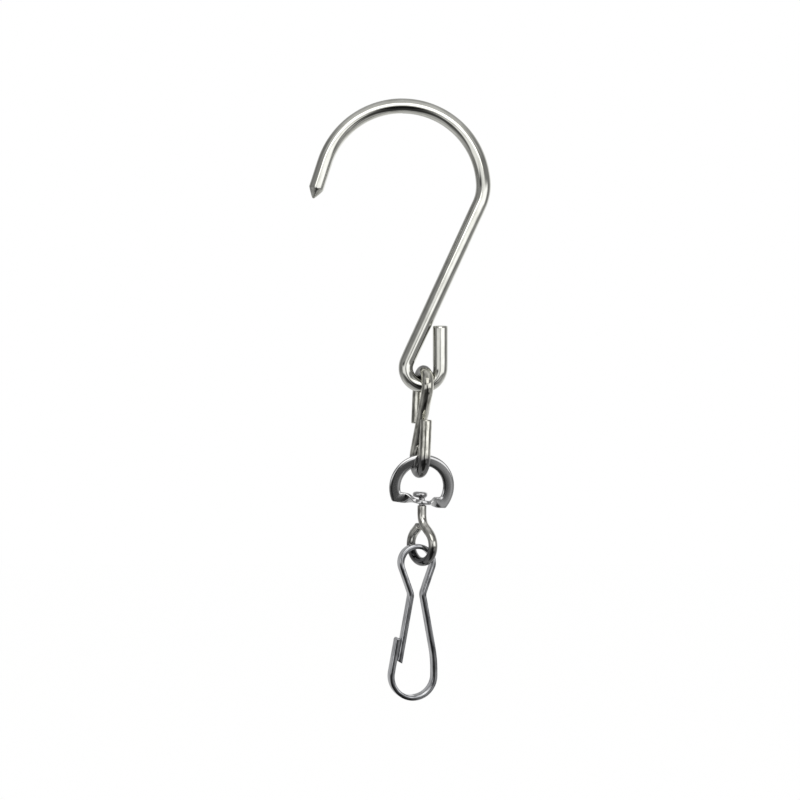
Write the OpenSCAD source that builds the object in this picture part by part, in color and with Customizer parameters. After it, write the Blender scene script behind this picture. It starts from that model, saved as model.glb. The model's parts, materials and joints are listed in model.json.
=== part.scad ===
// Hanging hook with a swivel and a spring clip.
// A pointed wire hook ends in a closed U eye. An S link joins the eye to a stamped
// swivel bow, a riveted stem turns in the bow, and a spring clip hangs in the stem's eye.
// The hook lies in the XZ plane. The origin is the inside of its crown, where it hangs.

/* [Hook wire] */
// Diameter of the hook wire
hook_wire_d = 3.5; // [2.5:0.1:4.5]
// Inner radius of the open bow
bow_inner_r = 17.1; // [13:0.1:22]
// Lean of the pointed leg from the vertical, degrees
tip_lean = 18; // [8:1:28]
// Straight length of the pointed leg before its ground point
tip_leg = 6.4; // [4:0.1:10]
// Length of the ground point
point_len = 2.4; // [1.6:0.1:4]
// Diameter of the blunt end of the point
point_flat = 0.5; // [0.3:0.1:0.9]
// Bend radius where the bow runs into the shank, on the centre line
knee_r = 10.4; // [8:0.1:13]
// Where that bend starts above the bow's centre, degrees
knee_start = 3; // [0:1:10]
// Lean of the shank from the vertical, degrees
shank_lean = 24.7; // [18:0.1:30]
// Straight length of the shank
shank_len = 39.9; // [30:0.1:50]
// Straight length of the leg that closes the eye
end_leg = 9.8; // [6:0.1:12]
// Edge break on sheared wire ends
end_break = 0.25; // [0.1:0.05:0.4]

/* [S link] */
// Diameter of the link wire
link_wire_d = 2.7; // [2:0.1:3.2]
// Distance between the centres of the link's two loops
link_pitch = 16.6; // [14:0.1:22]
// Straight length of each tail that closes a loop
link_tail = 8.6; // [5:0.1:9]
// Turn of the link out of the fore-and-aft plane, degrees
link_yaw = 17; // [0:1:25]
// Lean of the link from the vertical, degrees
link_lean = 2.5; // [0:0.5:6]

/* [Swivel bow] */
// Thickness of the stamped plate
plate_t = 1.0; // [0.8:0.1:1.4]
// Inner radius of the bow
ring_inner_r = 5.1; // [4.5:0.1:7]
// Width of the band round the bow
ring_band = 2.6; // [2:0.1:3.2]
// Edge break round the band
ring_break = 0.28; // [0.1:0.02:0.3]
// Distance from the bow's centre down to its flat foot
foot_drop = 4.2; // [3.8:0.1:5]
// Height of the cross bar where it leaves the band
bar_h = 2.4; // [2:0.1:3]
// How far the bar dips to its swivel boss
boss_dip = 0.45; // [0.2:0.05:0.7]
// Diameter of the flat boss round the swivel hole
boss_d = 4.4; // [3.6:0.1:5]
// How far the boss sits from the middle of the bar
boss_side = 0.6; // [0:0.1:1]
// Turn of the bow out of the hook's plane, degrees
ring_yaw = 12; // [0:1:20]
// Tilt of the bow in its own plane, degrees
ring_tilt = 8; // [0:1:9]
// Lean of the bow, with its face turned down, degrees
ring_lean = 8; // [0:1:10]
// How far round its inside the bow has slipped on the link, degrees
ring_slip = 12; // [0:1:20]

/* [Swivel stem] */
// Diameter of the stem wire
stem_wire_d = 2.1; // [1.7:0.1:2.6]
// Diameter of the tenon that turns in the bow
tenon_d = 1.5; // [1.2:0.1:1.8]
// Diameter of the riveted head
head_d = 3.5; // [3:0.1:4.2]
// Height of the riveted head
head_h = 1.6; // [1:0.1:1.8]
// Height of the cone under the head
head_cone = 0.4; // [0.3:0.05:0.8]
// How far the head was riveted off the tenon's axis
head_side = 0.4; // [0:0.05:0.5]
// Straight length of the stem below its shoulder
neck_len = 2.2; // [1.5:0.1:4]
// Bend radius between neck and eye, on the centre line
neck_bend_r = 4; // [2:0.1:5]
// Angle at which the wire leaves the neck, degrees
eye_lean = 48; // [40:1:55]
// Inner radius of the stem's eye
stem_eye_inner_r = 2.85; // [2.4:0.05:4]
// Turn of the eye out of the hook's plane, degrees
eye_yaw = 50; // [40:1:60]

/* [Spring clip] */
// Thickness of the flattened clip wire
clip_t = 1.15; // [1:0.05:1.5]
// Width of the flattened clip wire
clip_w = 2.8; // [2:0.1:3.2]
// Lean of the two strands between bow and neck, degrees
clip_strut_lean = 19.5; // [14:0.5:22]
// Free gap between the strands at the neck
clip_neck_gap = 1.65; // [1:0.05:2.2]
// Bend radius at the neck, on the centre line
clip_neck_r = 2.5; // [1.5:0.1:3]
// Lean of the two legs below the neck, degrees
clip_leg_lean = 10.4; // [8:0.2:12]
// Inner radius of the lower bow
clip_end_inner_r = 4.55; // [4:0.05:5.5]
// Distance from the neck down to the lower bow's centre
clip_drop = 18.9; // [17:0.1:24]
// Bend radius where the back leg turns upright
clip_back_r = 30; // [4:1:36]
// Straight length of the nose
nose_len = 7.6; // [5:0.1:9]
// Length of the gate from its root to its tip
gate_len = 15.2; // [13:0.1:17]
// Slant of the gate's cut tip, degrees
gate_slant = 20; // [0:1:30]
// Turn of the clip out of the hook's plane, degrees
clip_yaw = 14; // [5:1:20]
// Sideways set of the clip from the eye's lowest point
clip_side = 1.25; // [0:0.05:1.5]
// Set of the clip behind the eye's lowest point
clip_back = 0.3; // [0:0.1:0.5]
// Set of the clip's bow above the eye's lowest point
clip_lift = -0.2; // [-1:0.05:0.4]

/* [Clearances] */
// Gap left where one piece hangs in another
hang_gap = 0.2; // [0.1:0.01:0.3]
// Gap under the link's top, where it hangs turned and leaning in the hook's eye
seat_gap = 0.3; // [0.25:0.01:0.4]
// Room round the link wire inside the hook's eye
eye_room = 0.9; // [0.7:0.1:1.5]
// Room round the hook wire inside the link's loop
link_room = 0.4; // [0.3:0.1:1]
// Radial clearance of the tenon in its hole
swivel_clear = 0.1; // [0.09:0.01:0.15]
// Gap between the bow's boss and the riveted head
head_play = 0.4; // [0.4:0.05:0.7]
// Gap between the bow's boss and the stem's shoulder
shoulder_play = 0.25; // [0.2:0.05:0.4]
// Room round the stem wire inside the clip's bow
clip_room = 1.35; // [0.8:0.05:1.6]
// Gap between gate and nose
gate_gap = 0.15; // [0.1:0.01:0.3]
// Gap round the root that the gate turns on
root_gap = 0.05; // [0.03:0.01:0.08]

/* [Hidden] */
$fn = 72;
CUT = 40;
BEND_DRAW = 0.004;
BEND_LAP = 0.03;
SETTLE = 0.1;

// Hook wire: centre-line radii and the lowest point of its eye, where the link hangs
bow_r = bow_inner_r + hook_wire_d / 2;
eye_r = link_wire_d / 2 + eye_room + hook_wire_d / 2;
bow_centre = [0, 0, -bow_inner_r];
bow_end = [sin(knee_start), 0, -cos(knee_start)];
knee_centre = bow_centre + (bow_r - knee_r) * [cos(knee_start), 0, sin(knee_start)] + SETTLE * bow_end;
shank_top = knee_centre + knee_r * [cos(shank_lean), 0, -sin(shank_lean)];
shank_end = shank_top - shank_len * [sin(shank_lean), 0, cos(shank_lean)];
eye_centre = shank_end + eye_r * [cos(shank_lean), 0, -sin(shank_lean)];
link_seat = eye_centre - [0, 0, eye_r];

// S link: its upper loop lies over the hook's eye, its lower loop carries the bow
link_inner_r = hook_wire_d / 2 + link_room;
link_r = link_inner_r + link_wire_d / 2;
link_slope = asin(2 * link_r / link_pitch);
link_spine = sqrt(pow(link_pitch, 2) - pow(2 * link_r, 2));
link_top = link_seat - [0, 0, link_inner_r - hook_wire_d / 2 - seat_gap];
bow_seat = link_top - (link_pitch + link_r) * [sin(link_lean), 0, cos(link_lean)];

// Swivel bow: its band hangs on the link, its boss lies across the foot
ring_outer_r = ring_inner_r + ring_band;
hang_r = ring_inner_r - link_wire_d / 2 - hang_gap;
hang_x = hang_r * sin(ring_slip);
hang_z = -hang_r * cos(ring_slip);
ring_centre = bow_seat + [
    hang_x * cos(ring_yaw) + hang_z * sin(ring_lean) * sin(ring_yaw),
    hang_x * sin(ring_yaw) - hang_z * sin(ring_lean) * cos(ring_yaw),
    hang_z * cos(ring_lean)];
bar_top = -foot_drop + bar_h;
bar_mid = -foot_drop + bar_h / 2;
boss_z = bar_mid - boss_dip;
bar_end_x = sqrt(pow(ring_inner_r, 2) - pow(bar_top, 2));
boss_x = boss_side * cos(ring_tilt) + boss_z * sin(ring_tilt);
boss_low = boss_z * cos(ring_tilt) - boss_side * sin(ring_tilt);
boss_centre = ring_centre + [
    boss_x * cos(ring_yaw) + boss_low * sin(ring_lean) * sin(ring_yaw),
    boss_x * sin(ring_yaw) - boss_low * sin(ring_lean) * cos(ring_yaw),
    boss_low * cos(ring_lean)];

// Swivel stem: the eye's two straight flanks meet the neck at one apex
stem_eye_r = stem_eye_inner_r + stem_wire_d / 2;
flank = stem_eye_r / tan(eye_lean);
front_flank = flank - neck_bend_r * tan(eye_lean / 2);
tail_flank = flank - stem_wire_d / 2 - hang_gap - 0.15;
shoulder_z = -plate_t / 2 - shoulder_play;
apex_z = shoulder_z - neck_len - neck_bend_r * tan(eye_lean / 2);
eye_low_z = apex_z - stem_eye_r / sin(eye_lean) - stem_eye_r;

// Spring clip: the bow's room follows the wire that passes through it aslant
clip_cross = 90 - eye_yaw - clip_yaw;
clip_pass = stem_wire_d / 2 / cos(clip_cross) + clip_w / 2 * tan(clip_cross);
clip_bow_r = clip_pass + clip_room + clip_t / 2;
clip_end_r = clip_end_inner_r + clip_t / 2;
neck_x = (clip_neck_gap + clip_t) / 2;
neck_z = -(clip_bow_r - neck_x * cos(clip_strut_lean)) / sin(clip_strut_lean);
neck_turn = clip_strut_lean + clip_leg_lean;
neck_take = clip_neck_r * tan(neck_turn / 2);
strut_len = -neck_x * sin(clip_strut_lean) - neck_z * cos(clip_strut_lean) - neck_take;
nose_set = clip_t + gate_gap;
end_x = (clip_end_r - nose_set - clip_drop * sin(clip_leg_lean)) / cos(clip_leg_lean) - neck_x;
back_x = end_x + clip_end_r;
back_take = clip_back_r * tan(clip_leg_lean / 2);
back_leg = (back_x - neck_x) / sin(clip_leg_lean) - neck_take - back_take;
back_drop = clip_drop - (back_x - neck_x) / tan(clip_leg_lean) - back_take;
clip_centre = boss_centre + [-clip_side, clip_back, eye_low_z + clip_lift];
gate_root = [-neck_x - neck_take * sin(clip_leg_lean), 0, neck_z - neck_take * cos(clip_leg_lean)];

// Sweeps the first child, a wire section, through a list of [feed, turn, radius].
// It starts at the origin along +Z, and a positive turn bends towards +X.
// The second child finishes the far end. A bend draws the wire down by BEND_DRAW and
// runs a little way into the straight stretches on each side of it, which join it.
module bend_wire(steps, i = 0) {
    if (i == len(steps)) {
        children(1);
    } else {
        feed = steps[i][0];
        turn = steps[i][1];
        radius = steps[i][2];
        side = turn < 0 ? 180 : 0;
        sweep = abs(turn);
        lap = sweep > 0 ? BEND_LAP / radius * 180 / PI : 0;
        linear_extrude(height = feed) children(0);
        translate([0, 0, feed]) rotate([0, 0, side]) {
            if (sweep > 0)
                translate([radius, 0, 0]) rotate([90, 0, 180]) rotate([0, 0, -lap])
                    rotate_extrude(angle = sweep + 2 * lap)
                        translate([radius, 0]) scale(1 - BEND_DRAW) children(0);
            translate([radius * (1 - cos(sweep)), 0, radius * sin(sweep)])
                rotate([0, sweep, 0]) rotate([0, 0, side])
                    bend_wire(steps, i + 1) {
                        children(0);
                        children(1);
                    }
        }
    }
}

// Sheared end of a round wire, with its burr dressed off
module sheared_end(d) {
    cylinder(h = end_break, d1 = d, d2 = d - 2 * end_break);
}

// Conical point ground on the hook's open end
module ground_point() {
    cylinder(h = point_len, d1 = hook_wire_d, d2 = point_flat);
}

// Hook: point, bow, knee, shank and the U eye with its upright end leg
module main_hook() {
    color("#C9C7BE")
    translate(bow_centre) rotate([0, tip_lean - 90, 0]) translate([-tip_leg, 0, bow_r]) rotate([0, 90, 0]) {
        bend_wire([
            [tip_leg, 180 - tip_lean - knee_start, bow_r],
            [SETTLE, knee_start + shank_lean, knee_r],
            [shank_len, -180 - shank_lean, eye_r],
            [end_leg - end_break, 0, 0]
        ]) {
            circle(d = hook_wire_d);
            sheared_end(hook_wire_d);
        }
        rotate([180, 0, 0]) ground_point();
    }
}

// S link: two loops bent opposite ways, each closed by its tail beside the spine
module s_link() {
    color("#B4B3A6")
    translate(link_top) rotate([0, link_lean, 0]) rotate([0, 0, link_yaw - 90])
    translate([-link_r, 0, -link_tail]) {
        bend_wire([
            [link_tail, 180 + link_slope, link_r],
            [link_spine, -180 - link_slope, link_r],
            [link_tail, 0, 0]
        ]) {
            circle(d = link_wire_d);
            sheared_end(link_wire_d);
        }
        rotate([180, 0, 0]) sheared_end(link_wire_d);
    }
}

// Section of the bow's band, with its punched edges broken
module band_section() {
    translate([ring_inner_r, -plate_t / 2])
    polygon([
        [ring_break, 0], [ring_band - ring_break, 0],
        [ring_band, ring_break], [ring_band, plate_t - ring_break],
        [ring_band - ring_break, plate_t], [ring_break, plate_t],
        [0, plate_t - ring_break], [0, ring_break]
    ]);
}

// One half of the cross bar, twisted between the boss and the band. The boss keeps level
// while the bow leans, so the twist falls short of a quarter turn by the lean.
module twisted_bar(side) {
    start_x = side + boss_d / 2 - 0.7;
    reach = bar_end_x + 0.4 - start_x;
    rise = atan(boss_dip / reach);
    translate([start_x, 0, boss_z]) rotate([0, 90 - rise, 0])
    linear_extrude(height = reach / cos(rise), twist = 90 - ring_lean, slices = 10, segments = 8)
        rotate(-ring_lean) square([plate_t - 0.06, bar_h - 0.06], center = true);
}

// Places a child on the bar where the boss is, turned back by the bow's lean
module at_boss() {
    translate([boss_side, 0, boss_z]) rotate([-ring_lean, 0, 0]) children();
}

// Swivel bow: D-shaped band, twisted cross bar and flat boss with the swivel hole
module swivel_bow() {
    color("#8A8A88")
    translate(ring_centre) rotate([0, 0, ring_yaw]) rotate([ring_lean, 0, 0]) rotate([0, ring_tilt, 0])
    difference() {
        union() {
            difference() {
                rotate([90, 0, 0]) rotate_extrude() band_section();
                translate([-CUT / 2, -CUT / 2, -foot_drop - CUT]) cube(CUT);
                translate([-bar_end_x, -CUT / 2, bar_top - CUT]) cube([2 * bar_end_x, CUT, CUT]);
            }
            twisted_bar(boss_side);
            mirror([1, 0, 0]) twisted_bar(-boss_side);
            at_boss() cylinder(h = plate_t, d = boss_d, center = true);
        }
        at_boss() cylinder(h = 3 * plate_t, d = tenon_d + 2 * swivel_clear, center = true);
    }
}

// Outline of the riveted head: a cone below, a straight rim and a broken top edge
module head_outline() {
    lip = head_h / 5;
    polygon([
        [0, 0], [tenon_d / 2, 0], [head_d / 2, head_cone],
        [head_d / 2, head_h - lip], [head_d / 2 - lip, head_h], [0, head_h]
    ]);
}

// Swivel stem: head, tenon, shoulder and the teardrop eye closed against the neck
module swivel_stem() {
    head_z = plate_t / 2 + head_play;
    color("#A9A89C")
    translate(boss_centre) {
        translate([-head_side, 0, head_z]) rotate_extrude() head_outline();
        translate([0, 0, shoulder_z - neck_len / 4])
            cylinder(h = head_z - shoulder_z + neck_len / 4 + head_h / 4, d = tenon_d);
        translate([0, 0, shoulder_z]) rotate([0, 0, -eye_yaw]) rotate([180, 0, 0])
        bend_wire([
            [neck_len, eye_lean, neck_bend_r],
            [front_flank, -180 - 2 * eye_lean, stem_eye_r],
            [tail_flank - end_break, 0, 0]
        ]) {
            circle(d = stem_wire_d);
            sheared_end(stem_wire_d);
        }
    }
}

// Section of the flattened clip wire, with its full round edges
module clip_section() {
    square([clip_t, clip_w - clip_t], center = true);
    for (s = [-1, 1]) translate([0, s * (clip_w - clip_t) / 2]) circle(d = clip_t);
}

// Round end of the nose
module nose_end() {
    rotate([90, 0, 0]) rotate_extrude(angle = 180) intersection() {
        clip_section();
        translate([0, -clip_w]) square([clip_t, 2 * clip_w]);
    }
}

// Places a child in the clip's own frame, with the centre of its bow at the origin
module in_clip() {
    translate(clip_centre) rotate([0, 0, clip_yaw]) children();
}

// Spring clip: bow, neck, back leg, lower bow and nose in one flattened wire
module spring_clip() {
    color("#9C9EA0")
    in_clip() difference() {
        translate(gate_root) rotate([0, clip_leg_lean, 0]) translate([0, 0, -SETTLE])
        bend_wire([
            [SETTLE, -neck_turn, clip_neck_r],
            [strut_len, 180 + 2 * clip_strut_lean, clip_bow_r],
            [strut_len, -neck_turn, clip_neck_r],
            [back_leg, clip_leg_lean, clip_back_r],
            [back_drop, 180 + clip_leg_lean, clip_end_r],
            [nose_len, 0, 0]
        ]) {
            clip_section();
            nose_end();
        }
        translate(gate_root) rotate([90, 0, 0])
            cylinder(h = CUT, d = clip_t + 2 * root_gap, center = true);
    }
}

// Gate: the springing leg of the clip, from its root at the neck to its slant-cut tip
module clip_gate() {
    color("#9C9EA0")
    in_clip() translate(gate_root) rotate([0, clip_leg_lean, 0]) {
        rotate([90, 0, 0]) rotate_extrude(angle = 180) intersection() {
            clip_section();
            translate([0, -clip_w]) square([clip_t, 2 * clip_w]);
        }
        difference() {
            translate([0, 0, -gate_len]) linear_extrude(height = gate_len) clip_section();
            translate([0, 0, -gate_len]) rotate([0, gate_slant, 0])
                translate([-CUT / 2, -CUT / 2, -CUT]) cube(CUT);
        }
    }
}

main_hook();
s_link();
swivel_bow();
swivel_stem();
spring_clip();
clip_gate();
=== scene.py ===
import json
import math

import bpy
import numpy as np
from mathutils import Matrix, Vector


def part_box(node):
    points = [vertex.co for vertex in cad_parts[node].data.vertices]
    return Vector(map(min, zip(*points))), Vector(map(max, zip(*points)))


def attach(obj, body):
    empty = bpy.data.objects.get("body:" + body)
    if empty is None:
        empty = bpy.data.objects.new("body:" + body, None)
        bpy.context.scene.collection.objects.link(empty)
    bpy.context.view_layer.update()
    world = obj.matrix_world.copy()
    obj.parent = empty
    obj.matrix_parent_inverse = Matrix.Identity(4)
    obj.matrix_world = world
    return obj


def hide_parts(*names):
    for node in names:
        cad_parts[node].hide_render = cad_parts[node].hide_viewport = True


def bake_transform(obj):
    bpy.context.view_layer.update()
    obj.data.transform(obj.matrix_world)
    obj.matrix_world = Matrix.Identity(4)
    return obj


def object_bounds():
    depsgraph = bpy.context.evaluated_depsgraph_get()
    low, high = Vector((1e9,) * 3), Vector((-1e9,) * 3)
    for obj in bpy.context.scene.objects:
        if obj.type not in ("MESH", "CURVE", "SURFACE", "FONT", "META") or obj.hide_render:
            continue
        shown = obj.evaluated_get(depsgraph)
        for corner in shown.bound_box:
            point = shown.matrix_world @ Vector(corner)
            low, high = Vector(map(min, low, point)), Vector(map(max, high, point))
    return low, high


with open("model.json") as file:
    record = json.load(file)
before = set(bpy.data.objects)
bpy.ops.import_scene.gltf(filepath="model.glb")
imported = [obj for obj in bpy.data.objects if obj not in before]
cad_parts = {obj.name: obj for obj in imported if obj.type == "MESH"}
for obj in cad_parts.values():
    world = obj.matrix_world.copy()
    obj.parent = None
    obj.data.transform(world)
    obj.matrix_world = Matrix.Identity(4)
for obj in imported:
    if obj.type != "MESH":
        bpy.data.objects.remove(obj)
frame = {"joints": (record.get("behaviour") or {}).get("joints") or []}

cad_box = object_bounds()
MM = 0.001

# ---------------------------------------------------------------------------------------
# The hook. One length of drawn steel wire, bent cold round three pins, with a point
# ground on one end and the other end closed against the shank as a U eye, then plated.
# ---------------------------------------------------------------------------------------

HOOK_WIRE_D = 3.5
POINT_LEN = 2.4
POINT_FLAT = 0.5
TIP_LEAN = 18
TIP_LEG = 6.4
BOW_INNER_R = 17.1
KNEE_START = 3
KNEE_R = 10.4
SETTLE = 0.1
SHANK_LEAN = 24.7
SHANK_LEN = 39.9
EYE_R = 4.0
END_LEG = 9.8
END_BREAK = 0.25
WIRE_SIDES = 72
HOOK_PITCH = 0.3
GROUND_FLATS = 5
FLAT_DEPTH = 1 / 12
FLAT_FADE = 0.25


def place_of(joint):
    """The centre of a joint in millimetres, and its axis as a unit vector."""
    found = next(j for j in frame["joints"] if j["name"] == joint)
    axis = np.array(found["axis"], float)
    return np.array(found["pos_m"]) / MM, axis / np.linalg.norm(axis)


def wire_line(steps, at):
    """Points, headings and curvatures at distances `at` along a wire bent in one plane.

    Each step is a feed, a turn in degrees and a bend radius. On a straight the point moves
    by the distance times the heading. On a bend of radius R it has moved R sin(a) ahead
    and R (1 - cos(a)) to the side when the wire has turned by a.
    """
    points = np.zeros((len(at), 2))
    heading = np.zeros(len(at))
    curve = np.zeros(len(at))
    corner, begin, turned = np.zeros(2), 0.0, 0.0
    for feed, turn, radius in steps:
        ahead = np.array([math.sin(turned), math.cos(turned)])
        aside = np.array([ahead[1], -ahead[0]]) * (-1 if turn < 0 else 1)
        sweep = abs(math.radians(turn))
        past = at - begin
        bent = np.clip((past - feed) / radius, 0, sweep) if radius else 0 * past
        run = np.minimum(past, feed) if radius else past
        here = (corner + run[:, None] * ahead + radius * np.sin(bent)[:, None] * ahead
                + radius * (1 - np.cos(bent))[:, None] * aside)
        on = past >= 0
        points[on] = here[on]
        heading[on] = turned + np.sign(turn) * bent[on]
        curve[on] = (np.sign(turn) / radius * ((bent > 0) & (bent < sweep)))[on] if radius else 0
        corner = (corner + feed * ahead + radius * math.sin(sweep) * ahead
                  + radius * (1 - math.cos(sweep)) * aside)
        begin += feed + radius * sweep
        turned += np.sign(turn) * sweep
    return points, heading, curve


def wire_length(steps):
    """Sum of the feeds and of the bends' arc lengths, radius times angle."""
    return sum(feed + radius * abs(math.radians(turn)) for feed, turn, radius in steps)


def eased(values, width):
    """Running mean over 2 width + 1 samples, with the end values held."""
    padded = np.pad(values, width, mode="edge")
    return np.convolve(padded, np.ones(2 * width + 1) / (2 * width + 1), mode="valid")


def skin(name, rings, marks, sharp=()):
    """A closed mesh from rings of points, each joined to the next, with a fan at each end.

    `rings` is an array of shape (rings, around, 3) in millimetres, counted so that around
    crossed with along points outwards. `marks` is a vector for each of its points, which
    the materials read. Rings listed in `sharp` keep a hard edge.
    """
    count, around = rings.shape[:2]
    points = np.concatenate([rings.reshape(-1, 3), rings[:1].mean(1), rings[-1:].mean(1)])
    marks = np.concatenate([marks.reshape(-1, 3), marks[:1].mean(1), marks[-1:].mean(1)])
    i, j = np.meshgrid(np.arange(count - 1), np.arange(around), indexing="ij")
    k = (j + 1) % around
    here, beside = i * around + j, i * around + k
    quads = np.stack([here, beside, beside + around, here + around], -1)
    j = np.arange(around)
    k = (j + 1) % around
    last = (count - 1) * around
    first_pole = np.full(around, count * around)
    fans = np.concatenate([np.stack([k, j, first_pole], -1),
                           np.stack([last + j, last + k, first_pole + 1], -1)])
    mesh = bpy.data.meshes.new(name)
    mesh.from_pydata((points * MM).tolist(), [], quads.reshape(-1, 4).tolist() + fans.tolist())
    marked = mesh.attributes.new("wire_mm", "FLOAT_VECTOR", "POINT")
    marked.data.foreach_set("vector", marks.ravel())
    mesh.shade_smooth()
    if len(sharp):
        ends = np.zeros(len(mesh.edges) * 2, int)
        mesh.edges.foreach_get("vertices", ends)
        ring = ends.reshape(-1, 2) // around
        hard = (ring[:, 0] == ring[:, 1]) & np.isin(ring[:, 0], [s % count for s in sharp])
        mesh.attributes.new("sharp_edge", "BOOLEAN", "EDGE").data.foreach_set("value", hard)
    piece = bpy.data.objects.new(name, mesh)
    bpy.context.scene.collection.objects.link(piece)
    return piece


def swept(name, centre, across, beside, out, side, marks_along, sharp=()):
    """A skin whose ring i is centre[i] + out[i, j] across[i] + side[i, j] beside[i]."""
    rings = (centre[:, None] + out[..., None] * across[:, None] + side[..., None] * beside[:, None])
    marks = np.stack([out, side, np.broadcast_to(marks_along[:, None], out.shape)], -1)
    return skin(name, rings, marks, sharp)


def round_end(radius, edge, steps=7):
    """Distances from the end of a sheared wire and the radii there. Three rings cross the
    flat face, then the broken edge is a quarter circle: edge (1 - sin) along, edge
    (1 - cos) less than the radius."""
    turn = np.linspace(0, math.pi / 2, steps)
    face_shares = np.array([0.35, 0.7, 0.9])
    inner = face_shares * (radius - edge)
    return (np.concatenate([0 * inner, edge * (1 - np.sin(turn))]),
            np.concatenate([inner, radius - edge * (1 - np.cos(turn[::-1]))[::-1]]))


def bent_wire(name, steps, radius, start, end, frame_axes, origin, pitch, ground=0, squeeze=0.1):
    """A round wire swept along its bends. Its section is a circle of the given radius,
    pressed in across a bend by `squeeze` times radius over bend radius and spread beside
    it by half of that. `start` and `end` give distances from each end and radii there.
    Up to the distance `ground` the wheel has left flats: the radius is less by FLAT_DEPTH
    times the size of the sine of half the flats' number times the turn, and they fade
    over the last FLAT_FADE of that distance."""
    length = wire_length(steps)
    body = np.arange(start[0][-1] + pitch, length - end[0][-1] - pitch / 2, pitch)
    at = np.concatenate([start[0], body, length - end[0][::-1]])
    size = np.concatenate([start[1], np.full(len(body), radius), end[1][::-1]])
    flat, heading, curve = wire_line(steps, at)
    press = squeeze * radius * eased(np.abs(curve), max(1, int(radius / pitch)))
    x_axis, y_axis, z_axis = frame_axes
    centre = origin + flat[:, :1] * x_axis + flat[:, 1:] * z_axis
    across = np.cos(heading)[:, None] * x_axis - np.sin(heading)[:, None] * z_axis
    beside = np.broadcast_to(y_axis, across.shape)
    turn = np.arange(WIRE_SIDES) * 2 * math.pi / WIRE_SIDES
    flats = np.abs(np.sin(GROUND_FLATS / 2 * turn + 0.5)) * FLAT_DEPTH
    on_ground = np.clip((1 - at / (ground + 0.001)) / FLAT_FADE, 0, 1)
    size = size[:, None] * (1 - flats * on_ground[:, None])
    out = (1 - press)[:, None] * size * np.cos(turn)
    side = (1 + press / 2)[:, None] * size * np.sin(turn)
    return swept(name, centre, across, beside, out, side, at)


def linear(code):
    """An sRGB hex colour as linear RGBA."""
    value = np.array([int(code[k:k + 2], 16) for k in (1, 3, 5)]) / 255
    return (*np.where(value <= 0.04045, value / 12.92, ((value + 0.055) / 1.055) ** 2.4), 1.0)


def add(tree, kind, links=(), **settings):
    """One shader node. Settings name a property or an input; links pair an input with the
    socket that feeds it, or with the value it holds."""
    made = tree.nodes.new(kind)
    for key, value in settings.items():
        if hasattr(made, key):
            setattr(made, key, value)
        else:
            made.inputs[key.replace("_", " ")].default_value = value
    for key, given in links:
        if isinstance(given, bpy.types.NodeSocket):
            tree.links.new(given, made.inputs[key])
        else:
            made.inputs[key].default_value = given
    return made


LINES_PER_MM = 4.5
LINE_STRETCH = 0.02
RIPPLES_PER_MM = 0.6
RIPPLE_STRETCH = 0.35
FILMS_PER_MM = 0.9
TRACKS_PER_MM = 1.6
TRACK_STRETCH = (0.3, 0.3, 9)
TRACK_DEPTH = 0.02
# Painted shade in the loops where a neighbour hangs: how much of the colour it takes, how many mm
# along the wire its edge fades over, and its grey.
PAINTED_SHADE_SHARE = 0.85
PAINTED_SHADE_FADE = 1.6
PAINTED_SHADE_COLOUR = "#6E6E70"


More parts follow.
